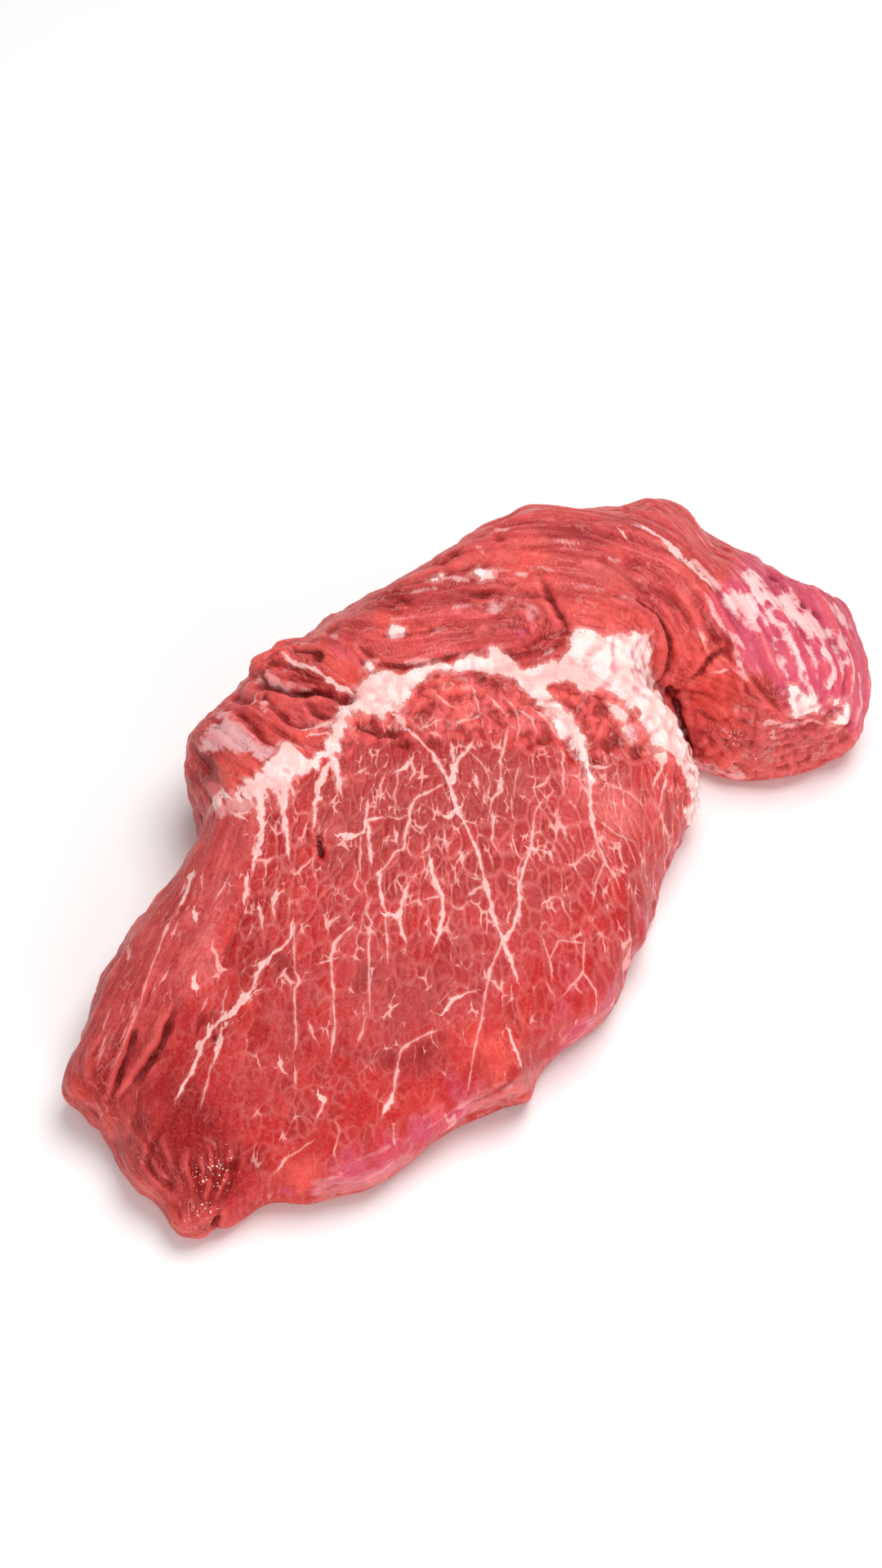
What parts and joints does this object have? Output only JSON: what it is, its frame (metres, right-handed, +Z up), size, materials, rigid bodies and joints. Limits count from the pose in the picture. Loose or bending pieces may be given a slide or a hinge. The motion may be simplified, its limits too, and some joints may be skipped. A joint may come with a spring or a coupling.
{
  "type": "boneless beef roast",
  "caption": "Large raw boneless beef rump piece lying cut face up, with marbled grain, a white fat seam, a rolled back muscle and a folded lobe at one end.",
  "frame": {"origin": "middle of the piece's bounding box, on the plane that it rests on", "axes": "+X along the piece from its thin end to the rolled lobe, +Y towards the back muscle, +Z up"},
  "size_m": [0.3348, 0.1778, 0.0842],
  "materials": {
    "raw_beef": "moist raw beef: red lean with fine white marbling, pale pink silverskin and a white fat seam, soft wet gloss"
  },
  "bodies": {
    "root": {"beef_roast": "raw_beef"}
  },
  "joints": []
}
